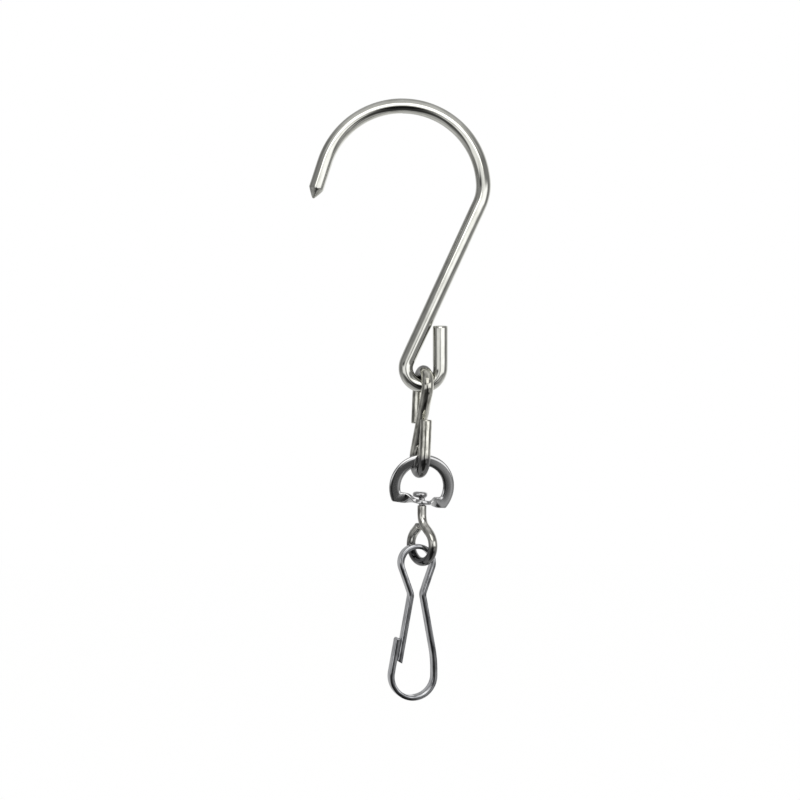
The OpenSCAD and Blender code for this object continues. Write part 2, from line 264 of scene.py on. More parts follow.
def plated(name, colour, dull, roughness, line_depth, ripple_depth=0.0012, ground=None, painted_shade=()):
    """Bright nickel plate over drawn wire, in millimetres along and across the wire.

    The plate follows the fine lines that the die left, 0.2 mm apart and fifty times as
    long, and a soft ripple under them, about 1.7 mm across. They break up the reflections.
    Films of handling, about 1 mm across, dull it in patches. `ground` adds the wheel's
    tracks, in rings, up to that distance from the wire's start. The last argument lists the
    middle and half length, along the wire, of each loop where a neighbour hangs, and there
    the plate's colour is darkened as painted shade.
    """
    made = bpy.data.materials.new(name)
    made.use_nodes = True
    tree = made.node_tree
    tree.nodes.clear()
    place = add(tree, "ShaderNodeAttribute", attribute_name="wire_mm").outputs["Vector"]
    along = add(tree, "ShaderNodeSeparateXYZ", [("Vector", place)]).outputs["Z"]
    lines_at = add(tree, "ShaderNodeMapping", [("Vector", place)], Scale=(1, 1, LINE_STRETCH))
    lines = add(tree, "ShaderNodeTexNoise", [("Vector", lines_at.outputs[0])],
                Scale=LINES_PER_MM, Detail=5.0, Roughness=0.6)
    ripple_at = add(tree, "ShaderNodeMapping", [("Vector", place)], Scale=(1, 1, RIPPLE_STRETCH))
    ripple = add(tree, "ShaderNodeTexNoise", [("Vector", ripple_at.outputs[0])],
                 Scale=RIPPLES_PER_MM, Detail=2.0)
    film = add(tree, "ShaderNodeTexNoise", [("Vector", ripple_at.outputs[0])],
               Scale=FILMS_PER_MM, Detail=6.0, Roughness=0.62)
    tint = add(tree, "ShaderNodeMapRange", [("Value", film.outputs["Fac"])],
               From_Min=0.42, From_Max=0.72)
    shade = add(tree, "ShaderNodeMix", [("Factor", tint.outputs[0]), (6, linear(colour)),
                                        (7, linear(dull))], data_type="RGBA").outputs[2]
    # Painted shade: inside each listed loop the colour is darkened towards a grey, for the shadow
    # where a neighbour hangs.
    for middle, half in painted_shade:
        away = add(tree, "ShaderNodeMath", [(0, along), (1, middle)], operation="SUBTRACT")
        near = add(tree, "ShaderNodeMath", [(0, away.outputs[0])], operation="ABSOLUTE")
        shade_cover = add(tree, "ShaderNodeMapRange", [("Value", near.outputs[0])],
                   interpolation_type="SMOOTHSTEP",
                   From_Min=half, From_Max=half - PAINTED_SHADE_FADE, To_Max=PAINTED_SHADE_SHARE)
        shade = add(tree, "ShaderNodeMix", [("Factor", shade_cover.outputs[0]), (6, shade),
                                            (7, linear(PAINTED_SHADE_COLOUR))], data_type="RGBA").outputs[2]
    blur = add(tree, "ShaderNodeMapRange", [("Value", film.outputs["Fac"])],
               From_Min=0.35, From_Max=0.75, To_Min=roughness, To_Max=roughness * 2.2)
    soft = add(tree, "ShaderNodeBump", [("Height", ripple.outputs["Fac"])],
               Distance=ripple_depth * MM)
    fine = add(tree, "ShaderNodeBump", [("Height", lines.outputs["Fac"]),
                                        ("Normal", soft.outputs[0])], Distance=line_depth * MM)
    surface = fine
    if ground:
        near = add(tree, "ShaderNodeMapRange", [("Value", along)],
                   From_Min=ground + 0.1, From_Max=ground - 0.1)
        rings_at = add(tree, "ShaderNodeMapping", [("Vector", place)], Scale=TRACK_STRETCH)
        rings = add(tree, "ShaderNodeTexNoise", [("Vector", rings_at.outputs[0])],
                    Scale=TRACKS_PER_MM, Detail=4.0)
        cut = add(tree, "ShaderNodeMath", [(0, rings.outputs["Fac"]), (1, near.outputs[0])],
                  operation="MULTIPLY")
        surface = add(tree, "ShaderNodeBump", [("Height", cut.outputs[0]),
                                               ("Normal", fine.outputs[0])],
                      Distance=TRACK_DEPTH * MM)
    shader = add(tree, "ShaderNodeBsdfPrincipled",
                 [("Base Color", shade), ("Roughness", blur.outputs[0]),
                  ("Normal", surface.outputs[0])], Metallic=1.0)
    add(tree, "ShaderNodeOutputMaterial", [("Surface", shader.outputs[0])])
    return made


wire_r = HOOK_WIRE_D / 2
bow_r = BOW_INNER_R + wire_r
# The wire is fed from the ground point's end, at the foot of the pointed leg.
hook_steps = [
    (POINT_LEN + TIP_LEG, 180 - TIP_LEAN - KNEE_START, bow_r),
    (SETTLE, KNEE_START + SHANK_LEAN, KNEE_R),
    (SHANK_LEN, -180 - SHANK_LEAN, EYE_R),
    (END_LEG, 0, 0),
]
tip_lean = math.radians(TIP_LEAN)
leg_up = np.array([math.sin(tip_lean), 0, math.cos(tip_lean)])
leg_right = np.array([math.cos(tip_lean), 0, -math.sin(tip_lean)])
into_plane = np.array([0.0, 1.0, 0.0])
crown_low = np.array([0, 0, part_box("main_hook")[1].z / MM - HOOK_WIRE_D])
point_at = (crown_low - [0, 0, BOW_INNER_R] - bow_r * leg_right
            - (TIP_LEG + POINT_LEN) * leg_up)
# The point swells from its blunt end to the wire, 1 - (1 - rise) to the power 1.25. Its
# first three rings close the blunt end.
BLUNT_AT = [0, 0, 0.03]
BLUNT_R = [0.08, 0.17, 0.24]
BLUNT_LEN = 0.06
point_rise = np.linspace(0, 1, 40)
point_r = POINT_FLAT / 2 + (wire_r - POINT_FLAT / 2) * (1 - (1 - point_rise) ** 1.25)
point_start = (np.concatenate([BLUNT_AT, BLUNT_LEN + point_rise[1:] * (POINT_LEN - BLUNT_LEN)]),
               np.concatenate([BLUNT_R, point_r[1:]]))
hook = bent_wire("hook_wire", hook_steps, wire_r, point_start, round_end(wire_r, END_BREAK),
                 (leg_right, into_plane, leg_up), point_at, HOOK_PITCH, POINT_LEN)
# Bright nickel, a little warm and hardly handled: near mirror, with the wheel's rings on
# the point.
hook.data.materials.append(plated("nickel_plate_hook", "#DEDED8", "#C4C4BD", roughness=0.03,
                                  line_depth=0.0008, ground=POINT_LEN))
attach(hook, "hook")
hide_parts("main_hook")

# ---------------------------------------------------------------------------------------
# The S link. Thinner steel wire bent cold into two loops, one each way, each cut end closed
# against the spine, then plated. It hangs edge on in the hook's eye, so its loops show
# their sides.
# ---------------------------------------------------------------------------------------

LINK_WIRE_D = 2.7
LINK_PITCH = 16.6
LINK_TAIL = 8.6
LINK_ROOM = 0.4
LINK_MESH_PITCH = 0.2
# Painted shade inside each loop: its middle and half length along the wire.
LINK_PAINTED_SHADE = ((12.5, 4.6), (43.4, 6.6))
LINK_R = HOOK_WIRE_D / 2 + LINK_ROOM + LINK_WIRE_D / 2

link_top, link_out = place_of("link_swing")
link_z = np.array([-link_out[2], 0, link_out[0]])
link_z /= np.linalg.norm(link_z)
link_x = np.cross(link_out, link_z)
link_slope = math.degrees(math.asin(2 * LINK_R / LINK_PITCH))
link_spine = math.sqrt(LINK_PITCH ** 2 - (2 * LINK_R) ** 2)
link_steps = [
    (LINK_TAIL + END_BREAK, 180 + link_slope, LINK_R),
    (link_spine, -180 - link_slope, LINK_R),
    (LINK_TAIL + END_BREAK, 0, 0),
]
link_end = round_end(LINK_WIRE_D / 2, END_BREAK)
link = bent_wire("s_link_wire", link_steps, LINK_WIRE_D / 2, link_end, link_end,
                 (link_x, link_out, link_z),
                 link_top - LINK_R * link_x - (LINK_TAIL + END_BREAK) * link_z, LINK_MESH_PITCH)
# Bright nickel with dark films, and painted shade darkening the inside of both loops where the
# pieces hang.
link.data.materials.append(plated("nickel_plate_link", "#E4E3DA", "#5A5952", roughness=0.025,
                                  line_depth=0.0009, painted_shade=LINK_PAINTED_SHADE))
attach(link, "link")
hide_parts("s_link")

# ---------------------------------------------------------------------------------------
# The swivel bow. A D-shaped ring punched from steel sheet and plated, with its straight
# side twisted a quarter turn on each side of a flat boss, so that the swivel's hole faces
# up and down.
# ---------------------------------------------------------------------------------------

PLATE_T = 1.0
RING_INNER_R = 5.1
RING_BAND = 2.6
FOOT_DROP = 4.2
BAR_H = 2.4
BOSS_DIP = 0.45
BOSS_D = 4.4
BOSS_SIDE = 0.6
RING_TILT = 8
RING_LEAN = 8
RING_ROLL = 0.9
RING_EDGE = 0.34
RING_BOW_R = 80
BAR_ROLL = 0.3
BAR_EDGE = 0.22
HOLE_D = 1.7
TWIST_FROM = 1.6
TWIST_TO = 4.6
DIP_FROM = 1.4
DIP_TO = 4.4

boss_centre, ring_out = place_of("stem_swivel")[0], place_of("bow_swing")[1]
ring_tilt = math.radians(RING_TILT)
ring_level = np.array([ring_out[1], -ring_out[0], 0]) / math.hypot(ring_out[0], ring_out[1])
ring_steep = np.cross(ring_level, ring_out)
ring_up = math.sin(ring_tilt) * ring_level + math.cos(ring_tilt) * ring_steep
ring_right = np.cross(ring_out, ring_up)
boss_z = -FOOT_DROP + BAR_H / 2 - BOSS_DIP
ring_centre = boss_centre - boss_z * ring_up - BOSS_SIDE * ring_right


def punched_strip(name, inner, outer, twist, dip, widen, roll, edge):
    """A strip of sheet between two closed outlines, with its edges rolled over.

    The section at each station is a rectangle whose corners are quarter ellipses, `roll`
    long on its face and `edge` deep. It reaches from the inner outline to the outer one, is
    as thick as the sheet, and is turned about its middle by `twist`. `dip` lowers its
    middle and `widen` adds to its half width. The whole strip is bowed a little: it lies
    back by x squared over twice RING_BOW_R. The plate reads places from the ring's centre.
    """
    middle = (inner + outer) / 2
    half = np.linalg.norm(outer - inner, axis=1) / 2
    wide = (outer - inner) / (2 * half)[:, None]
    half = half + widen
    middle = middle - np.stack([0 * dip, dip], -1)
    wide = wide[:, :1] * ring_right + wide[:, 1:] * ring_up
    turn = twist[:, None]
    across = np.cos(turn) * wide + np.sin(turn) * ring_out
    thick = np.cos(turn) * ring_out - np.sin(turn) * wide
    arc = np.linspace(0, math.pi / 2, 7)
    corner = np.stack([np.cos(arc), np.sin(arc)], -1)
    out, side = [], []
    for quarter in range(4):
        c, s = math.cos(quarter * math.pi / 2), math.sin(quarter * math.pi / 2)
        sign = np.array([1 if quarter in (0, 3) else -1, 1 if quarter in (0, 1) else -1])
        bend = corner @ np.array([[c, s], [-s, c]])
        out.append(sign[0] * (half - roll)[:, None] + roll[:, None] * bend[:, 0])
        side.append(sign[1] * (PLATE_T / 2 - edge)[:, None] + edge[:, None] * bend[:, 1])
    out, side = np.concatenate(out, 1), np.concatenate(side, 1)
    back = middle[:, :1] ** 2 / (2 * RING_BOW_R)
    centre = ring_centre + middle[:, :1] * ring_right + middle[:, 1:] * ring_up + back * ring_out
    rings = centre[:, None] + out[..., None] * across[:, None] + side[..., None] * thick[:, None]
    around = rings.shape[1]
    marks = rings - ring_centre
    points = rings.reshape(-1, 3)
    i, j = np.meshgrid(np.arange(len(rings)), np.arange(around), indexing="ij")
    here, ahead, k = i * around, (i + 1) % len(rings) * around, (j + 1) % around
    quads = np.stack([here + j, ahead + j, ahead + k, here + k], -1)
    mesh = bpy.data.meshes.new(name)
    mesh.from_pydata((points * MM).tolist(), [], quads.reshape(-1, 4).tolist())
    marked = mesh.attributes.new("wire_mm", "FLOAT_VECTOR", "POINT")
    marked.data.foreach_set("vector", marks.ravel())
    mesh.shade_smooth()
    piece = bpy.data.objects.new(name, mesh)
    bpy.context.scene.collection.objects.link(piece)
    return piece


def smoothed_loop(outline, reach):
    """A closed outline averaged over `reach` samples each way, which rounds its corners."""
    shifts = [np.roll(outline, k, axis=0) for k in range(-reach, reach + 1)]
    return np.mean(shifts, axis=0)


RING_STATIONS = 420
BAR_STATIONS = 200
# Samples, each way, that the two outlines, the twist, the dip, the boss and the change of
# edge between ring and bar are smoothed over.
INNER_EASE, OUTER_EASE = 5, 4
TWIST_EASE, DIP_EASE, BOSS_EASE, EDGE_EASE = 4, 10, 3, 12
ring_outer_r = RING_INNER_R + RING_BAND
bar_top = -FOOT_DROP + BAR_H
inner_low = math.asin(-bar_top / RING_INNER_R)
outer_low = math.asin(FOOT_DROP / ring_outer_r)
share = np.linspace(0, 1, RING_STATIONS, endpoint=False)
inner_turn = -inner_low + share * (math.pi + 2 * inner_low)
outer_turn = -outer_low + share * (math.pi + 2 * outer_low)
inner_arc = RING_INNER_R * np.stack([np.cos(inner_turn), np.sin(inner_turn)], -1)
outer_arc = ring_outer_r * np.stack([np.cos(outer_turn), np.sin(outer_turn)], -1)
bar_inner_x = RING_INNER_R * math.cos(inner_low)
bar_outer_x = ring_outer_r * math.cos(outer_low)
bar_share = np.linspace(0, 1, BAR_STATIONS, endpoint=False)
inner_bar = np.stack([bar_inner_x * (2 * bar_share - 1), np.full(BAR_STATIONS, bar_top)], -1)
outer_bar = np.stack([bar_outer_x * (2 * bar_share - 1), np.full(BAR_STATIONS, -FOOT_DROP)], -1)
ring_inner = smoothed_loop(np.concatenate([inner_arc, inner_bar]), INNER_EASE)
ring_outer = smoothed_loop(np.concatenate([outer_arc, outer_bar]), OUTER_EASE)
middle_x = (ring_inner + ring_outer)[:, 0] / 2
on_bar = np.concatenate([np.zeros(RING_STATIONS), np.ones(BAR_STATIONS)])
from_boss = np.abs(middle_x - BOSS_SIDE)
# The bar turns from TWIST_TO to TWIST_FROM of the middle, and dips over DIP_TO to DIP_FROM.
bar_reach = np.where(middle_x > BOSS_SIDE, TWIST_TO - BOSS_SIDE, TWIST_TO + BOSS_SIDE)
twist_share = np.clip((bar_reach - from_boss) / (bar_reach - TWIST_FROM), 0, 1) * on_bar
twist_share = smoothed_loop(twist_share * twist_share * (3 - 2 * twist_share), TWIST_EASE)
dip_share = np.clip((DIP_TO - from_boss) / (DIP_TO - DIP_FROM), 0, 1)
bar_dip = smoothed_loop(BOSS_DIP * dip_share * on_bar, DIP_EASE)
boss_half = np.sqrt(np.clip((BOSS_D / 2) ** 2 - from_boss ** 2, 0, None)) * on_bar
boss_widen = smoothed_loop(np.maximum(boss_half - BAR_H / 2, 0), BOSS_EASE)
ring_roll = smoothed_loop(np.where(on_bar > 0, BAR_ROLL, RING_ROLL), EDGE_EASE)
ring_edge = smoothed_loop(np.where(on_bar > 0, BAR_EDGE, RING_EDGE), EDGE_EASE)
ring = punched_strip("swivel_bow_plate", ring_inner, ring_outer,
                     twist_share * math.radians(90 - RING_LEAN), bar_dip, boss_widen,
                     ring_roll, ring_edge)

# The swivel's hole is drilled square to the boss.
DRILL_SIDES = 48
DRILL_REACH = 1.5
drill_turn = np.arange(DRILL_SIDES) * 2 * math.pi / DRILL_SIDES
lean = math.radians(RING_LEAN)
boss_out = math.cos(lean) * ring_out - math.sin(lean) * ring_up
boss_up = np.cross(ring_right, boss_out)
rim = HOLE_D / 2 * (np.cos(drill_turn)[:, None] * ring_right
                    + np.sin(drill_turn)[:, None] * boss_out)
drill_points = np.concatenate([boss_centre + rim - DRILL_REACH * boss_up,
                               boss_centre + rim + DRILL_REACH * boss_up])
k = np.arange(DRILL_SIDES)
k_next = (k + 1) % DRILL_SIDES
drill_walls = np.stack([k, k + DRILL_SIDES, k_next + DRILL_SIDES, k_next], -1).tolist()
drill_ends = [k.tolist(), (k[::-1] + DRILL_SIDES).tolist()]
drill = bpy.data.meshes.new("drill")
drill.from_pydata((drill_points * MM).tolist(), [], drill_walls + drill_ends)
drill_piece = bpy.data.objects.new("drill", drill)
bpy.context.scene.collection.objects.link(drill_piece)
cut = ring.modifiers.new("hole", "BOOLEAN")
cut.operation, cut.solver, cut.object = "DIFFERENCE", "EXACT", drill_piece
bpy.context.view_layer.objects.active = ring
bpy.ops.object.modifier_apply(modifier="hole")
bpy.data.objects.remove(drill_piece)
# Plate over punched and tumbled sheet: neutral, and softer than on drawn wire.
ring.data.materials.append(plated("nickel_plate_bow", "#D8D8D8", "#A3A3A5", roughness=0.08,
                                  line_depth=0.0010))
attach(ring, "bow")
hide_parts("swivel_bow")

# ---------------------------------------------------------------------------------------
# The swivel stem. Plated steel wire, turned down to a tenon that passes up through the
# boss. The tenon's end is riveted over as a mushroom head, and the wire's foot is bent
# into a teardrop eye.
# ---------------------------------------------------------------------------------------

STEM_WIRE_D = 2.1
TENON_D = 1.5
HEAD_SIDE = 0.4
NECK_LEN = 2.2
NECK_BEND_R = 4.0
EYE_LEAN = 48
STEM_EYE_R = 3.9
EYE_YAW = 50
HEAD_PLAY = 0.4
SHOULDER_PLAY = 0.25
TAIL_GAP = 0.35
SHOULDER_EDGE = 0.2
STEM_MESH_PITCH = 0.13
# Painted shade in the eye where the clip hangs: its middle and half length along the wire.
STEM_PAINTED_SHADE = ((17.2, 6.9),)

up = np.array([0.0, 0.0, 1.0])
stem_top = place_of("stem_swivel")[0]
head_z = PLATE_T / 2 + HEAD_PLAY
shoulder_z = -PLATE_T / 2 - SHOULDER_PLAY
stem_r = STEM_WIRE_D / 2
flank = STEM_EYE_R / math.tan(math.radians(EYE_LEAN))
front_flank = flank - NECK_BEND_R * math.tan(math.radians(EYE_LEAN / 2))
stem_steps = [
    (NECK_LEN, EYE_LEAN, NECK_BEND_R),
    (front_flank, -180 - 2 * EYE_LEAN, STEM_EYE_R),
    (flank - stem_r - TAIL_GAP, 0, 0),
]
yaw = math.radians(EYE_YAW)
stem_x = np.array([math.cos(yaw), -math.sin(yaw), 0])
eye = bent_wire("swivel_stem_wire", stem_steps, stem_r, round_end(stem_r, SHOULDER_EDGE),
                round_end(stem_r, END_BREAK), (stem_x, np.cross(-up, stem_x), -up),
                stem_top + shoulder_z * up, STEM_MESH_PITCH)

# Heights and radii: the tenon's start, inside the shoulder, and the riveted head from its
# seat up to the small flat on top.
TENON_START = [(-0.4, 0.3), (-0.35, TENON_D / 2)]
HEAD_PROFILE = [(0.0, 0.76), (0.14, 1.1), (0.3, 1.5), (0.46, 1.72), (0.8, 1.75), (1.12, 1.74),
                (1.36, 1.58), (1.5, 1.25), (1.57, 0.7)]
HEAD_STATIONS = 90
HEAD_SIDES = 64
RIM_OVER = 0.3
SIDE_OVER = 0.4
head_line = np.array([(shoulder_z + h, r) for h, r in TENON_START]
                     + [(head_z - 0.02, TENON_D / 2)]
                     + [(head_z + h, r) for h, r in HEAD_PROFILE])
steps_along = np.linspace(0, len(head_line) - 1, HEAD_STATIONS)
head_height = eased(np.interp(steps_along, np.arange(len(head_line)), head_line[:, 0]), 2)
head_radius = eased(np.interp(steps_along, np.arange(len(head_line)), head_line[:, 1]), 2)
head_turn = np.arange(HEAD_SIDES) * 2 * math.pi / HEAD_SIDES
# The hammer leaves the rim a little out of round, and the head to one side.
on_head = np.clip((head_height - head_z) / RIM_OVER, 0, 1)[:, None]
hammered = 1 + on_head * (0.02 * np.cos(3 * head_turn + 0.6)
                          + 0.012 * np.cos(5 * head_turn + 2.0))
around_head = head_radius[:, None] * hammered
off_axis = HEAD_SIDE * np.clip((head_height - head_z) / SIDE_OVER, 0, 1)
head_centre = stem_top + head_height[:, None] * up - off_axis[:, None] * np.array([1.0, 0, 0])
head = swept("swivel_stem_head", head_centre,
             np.broadcast_to(stem_x, (HEAD_STATIONS, 3)),
             np.broadcast_to(np.cross(up, stem_x), (HEAD_STATIONS, 3)),
             around_head * np.cos(head_turn), around_head * np.sin(head_turn), head_height)
# Bright nickel with dark films, and painted shade darkening the eye where the clip hangs.
# The hammered head is cleaner and more neutral.
stem_plate = plated("nickel_plate_stem", "#DAD9D3", "#4C4B47", roughness=0.025,
                    line_depth=0.0012, painted_shade=STEM_PAINTED_SHADE)
head_plate = plated("nickel_plate_head", "#E0E0E0", "#8A8A8C", roughness=0.03,
                    line_depth=0.0010)
for piece, plate in ((eye, stem_plate), (head, head_plate)):
    piece.data.materials.append(plate)
    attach(piece, "stem")
    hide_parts("swivel_stem")

# ---------------------------------------------------------------------------------------
# The spring clip. One length of plated spring steel wire, rolled flat with round edges and
# bent to a bow, a pinched neck and a lower bow that ends in the nose. The free leg is the
# gate: it rests inside the nose, and on the real clip it bends in from the neck when
# something is pushed past. Here it is built at rest, fixed in place.
# ---------------------------------------------------------------------------------------

CLIP_T = 1.15
CLIP_W = 2.8
CLIP_STRUT_LEAN = 19.5
CLIP_NECK_GAP = 1.65
CLIP_NECK_R = 2.5
CLIP_LEG_LEAN = 10.4
CLIP_YAW = 14
CLIP_BOW_ROOM = 1.35
CLIP_END_IN_R = 4.55
CLIP_DROP = 18.9
CLIP_BACK_R = 30
NOSE_LEN = 7.6
GATE_LEN = 15.2
GATE_SLANT = 20
GATE_GAP = 0.15
GATE_STUB = 0.35
UNDERSIZE = 0.004
EDGE_CROWN = 0.38
CLIP_PITCH = 0.16

# The small bow clears the eye's wire, which crosses it at the angle between the two yaws.
clip_out = place_of("clip_swing")[1]
gate_root = place_of("gate_flex")[0]
crossing = math.radians(90 - EYE_YAW - CLIP_YAW)
CLIP_BOW_R = (STEM_WIRE_D / 2 / math.cos(crossing) + CLIP_W / 2 * math.tan(crossing)
              + CLIP_BOW_ROOM + CLIP_T / 2)
CLIP_END_R = CLIP_END_IN_R + CLIP_T / 2
clip_x = np.cross(clip_out, up)
strut = math.radians(CLIP_STRUT_LEAN)
leg = math.radians(CLIP_LEG_LEAN)
neck_x = (CLIP_NECK_GAP + CLIP_T) / 2
neck_z = -(CLIP_BOW_R - neck_x * math.cos(strut)) / math.sin(strut)
neck_turn = CLIP_STRUT_LEAN + CLIP_LEG_LEAN
neck_take = CLIP_NECK_R * math.tan(math.radians(neck_turn / 2))
strut_len = -neck_x * math.sin(strut) - neck_z * math.cos(strut) - neck_take
end_x = (CLIP_END_R - CLIP_T - GATE_GAP - CLIP_DROP * math.sin(leg)) / math.cos(leg) - neck_x
back_x = end_x + CLIP_END_R
back_take = CLIP_BACK_R * math.tan(leg / 2)
back_leg = (back_x - neck_x) / math.sin(leg) - neck_take - back_take
back_drop = CLIP_DROP - (back_x - neck_x) / math.tan(leg) - back_take
clip_steps = [
    (GATE_STUB, -neck_turn, CLIP_NECK_R),
    (strut_len, 180 + 2 * CLIP_STRUT_LEAN, CLIP_BOW_R),
    (strut_len, -neck_turn, CLIP_NECK_R),
    (back_leg, CLIP_LEG_LEAN, CLIP_BACK_R),
    (back_drop, 180 + CLIP_LEG_LEAN, CLIP_END_R),
    (NOSE_LEN + CLIP_T / 2, 0, 0),
]


def rolled_section(per_edge=14, per_flat=8):
    """The flat wire's outline: two straight faces joined by two half ellipses, which stand
    out by EDGE_CROWN times half the thickness. It is a hair inside its nominal size."""
    r = CLIP_T / 2 - UNDERSIZE
    half = CLIP_W / 2 - EDGE_CROWN * r
    turn = np.linspace(0, math.pi, per_edge)
    face = np.linspace(half, -half, per_flat + 2)[1:-1]
    top = np.stack([r * np.cos(turn), half + EDGE_CROWN * r * np.sin(turn)], -1)
    left = np.stack([np.full(per_flat, -r), face], -1)
    return np.concatenate([top, left, -top, -left])


def flat_wire(name, steps, at, thick, wide, slant=None, start=0.0, hard=()):
    """The rolled section swept along its bends. `thick` and `wide` scale it at each
    station, and `slant` shears the stations along the wire by that much of its offset."""
    flat, heading, _ = wire_line(steps, at)
    leg_z = math.cos(leg) * up + math.sin(leg) * clip_x
    leg_x = math.cos(leg) * clip_x - math.sin(leg) * up
    centre = gate_root + flat[:, :1] * leg_x + (flat[:, 1:] + start) * leg_z
    across = np.cos(heading)[:, None] * leg_x - np.sin(heading)[:, None] * leg_z
    along = np.sin(heading)[:, None] * leg_x + np.cos(heading)[:, None] * leg_z
    section = rolled_section()
    out = thick[:, None] * section[:, 0]
    side = wide[:, None] * section[:, 1]
    rings = (centre[:, None] + out[..., None] * across[:, None] + side[..., None] * clip_out)
    if slant is not None:
        rings = rings + (slant[:, None] * out)[..., None] * along[:, None]
    marks = np.stack([out, side, np.broadcast_to((at + start)[:, None], out.shape)], -1)
    return skin(name, rings, marks, hard)


# The nose is rounded off over half the wire's thickness, and narrows a little.
NOSE_NARROW = 0.3
clip_length = wire_length(clip_steps)
nose_turn = np.linspace(0, math.pi / 2, 14)[:-1]
body_at = np.arange(0, clip_length - CLIP_T / 2, CLIP_PITCH)
nose_at = clip_length - CLIP_T / 2 * (1 - np.sin(nose_turn))
clip_at = np.concatenate([body_at, nose_at])
nose_thick = np.concatenate([np.ones(len(body_at)), np.cos(nose_turn)])
clip_wire = flat_wire("spring_clip_wire", clip_steps, clip_at, nose_thick,
                      1 - NOSE_NARROW * (1 - nose_thick) ** 2, start=-GATE_STUB, hard=(0,))

# The gate runs from its tip up to the stub. Its tip has a broken edge and is cut aslant.
GATE_EDGE = 0.12
TIP_ROOM = 0.3
TIP_FACE = 0.4
SLANT_LEN = 1.2
SLANT_FADE = 0.9
gate_len = GATE_LEN - GATE_STUB
gate_at = np.arange(0, gate_len - TIP_ROOM, CLIP_PITCH)
edge_turn = np.linspace(0, math.pi / 2, 6)
tip_at = gate_len - GATE_EDGE * (1 - np.sin(edge_turn))
tip_size = 1 - GATE_EDGE / (CLIP_T / 2) * (1 - np.cos(edge_turn))
gate_along = np.concatenate([gate_at, tip_at, [tip_at[-1]]])[::-1]
gate_size = np.concatenate([np.ones(len(gate_at)), tip_size, [TIP_FACE]])[::-1]
slant_share = np.clip((gate_along - (gate_len - SLANT_LEN)) / SLANT_FADE, 0, 1)
gate_wire = flat_wire("spring_clip_gate", [(GATE_LEN, 0, 0)], gate_len - gate_along,
                      gate_size, gate_size,
                      slant=-math.tan(math.radians(GATE_SLANT)) * slant_share,
                      start=-GATE_LEN, hard=(-1,))
# Bright plate over rolled wire: bluer and darker than the nickel, and nearly a mirror.
clip_plate = plated("bright_plate_clip", "#C2C3C6", "#46484C", roughness=0.02,
                    line_depth=0.0006)
for piece, body, node in ((clip_wire, "clip", "spring_clip"), (gate_wire, "gate", "clip_gate")):
    piece.data.materials.append(clip_plate)
    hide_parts(node)
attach(clip_wire, "clip")
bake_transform(gate_wire)

# ---------------------------------------------------------------------------------------
# The studio. The hook hangs over a pale matt floor, inside a tent of cloth, with one warm
# soft box above the camera. Bright plate shows only what stands round it, so the light and
# dark parts of the tent make most of its look.
# ---------------------------------------------------------------------------------------

FLOOR_DROP = 0.12
FLOOR_FRONT = 0.05
FLOOR_BACK = 1.6
FLOOR_GLOW = 1.06
GLOW_SHARE = 0.9
MIRROR_SHARE = 0.25

low, high = cad_box[0], cad_box[1]
floor_z = low[2] - FLOOR_DROP
floor_mesh = bpy.data.meshes.new("floor")
floor_mesh.from_pydata([(-FLOOR_BACK, FLOOR_FRONT, floor_z), (FLOOR_BACK, FLOOR_FRONT, floor_z),
                        (FLOOR_BACK, FLOOR_BACK, floor_z), (-FLOOR_BACK, FLOOR_BACK, floor_z)],
                       [], [(0, 1, 2, 3)])
floor = bpy.data.objects.new("floor", floor_mesh)
bpy.context.scene.collection.objects.link(floor)


def white_share(tree, to_camera, to_metal):
    """How much of the backdrop's white a ray sees: one share for the camera's rays, and one
    for those that metal or glass sends on."""
    ray = add(tree, "ShaderNodeLightPath")
    seen = add(tree, "ShaderNodeMath", [(0, ray.outputs["Is Camera Ray"]), (1, to_camera)],
               operation="MULTIPLY")
    mirrored = add(tree, "ShaderNodeMath", [(0, ray.outputs["Is Glossy Ray"]),
                                            (1, ray.outputs["Is Transmission Ray"])],
                   operation="MAXIMUM")
    return add(tree, "ShaderNodeMath", [(0, mirrored.outputs[0]), (1, to_metal),
                                        (2, seen.outputs[0])],
               operation="MULTIPLY_ADD").outputs[0]


# Matt white board. The camera sees it as nearly even white, and metal shows a part of that
# white over the board's own shade.
paint = bpy.data.materials.new("matt_white_board")
paint.use_nodes = True
tree = paint.node_tree
tree.nodes.clear()
matt = add(tree, "ShaderNodeBsdfDiffuse", Color=linear("#F0F0EE"))
glow = add(tree, "ShaderNodeEmission", Color=(1, 1, 1, 1), Strength=FLOOR_GLOW)
mixed = add(tree, "ShaderNodeMixShader", [(0, white_share(tree, GLOW_SHARE, MIRROR_SHARE)),
                                          (1, matt.outputs[0]), (2, glow.outputs[0])])
add(tree, "ShaderNodeOutputMaterial", [("Surface", mixed.outputs[0])])
floor_mesh.materials.append(paint)

# The middle of the view is level with the link's lower end.
VIEW_SIDE = -0.0005
VIEW_DROP = 0.0699
target = np.array([VIEW_SIDE, 0.0, high[2] - VIEW_DROP])
WARM_WHITE = (1.0, 0.99, 0.95)


def soft_box(name, azimuth, elevation, distance, width, height, radiance):
    """An area lamp of even radiance, facing the hook from that bearing. Azimuth counts
    from the camera's side towards +X. Power is radiance times pi times the area."""
    a, e = math.radians(azimuth), math.radians(elevation)
    away = np.array([math.sin(a) * math.cos(e), -math.cos(a) * math.cos(e), math.sin(e)])
    lamp = bpy.data.lights.new(name, "AREA")
    lamp.shape, lamp.size, lamp.size_y = "RECTANGLE", width, height
    lamp.energy = radiance * math.pi * width * height
    lamp.color = WARM_WHITE
    made = bpy.data.objects.new(name, lamp)
    made.location = target + distance * away
    made.rotation_euler = (math.radians(90 - elevation), 0, a)
    made.visible_camera = False
    bpy.context.scene.collection.objects.link(made)


soft_box("top_box", azimuth=-0.5, elevation=31, distance=0.42, width=0.34, height=0.205,
         radiance=1.4)

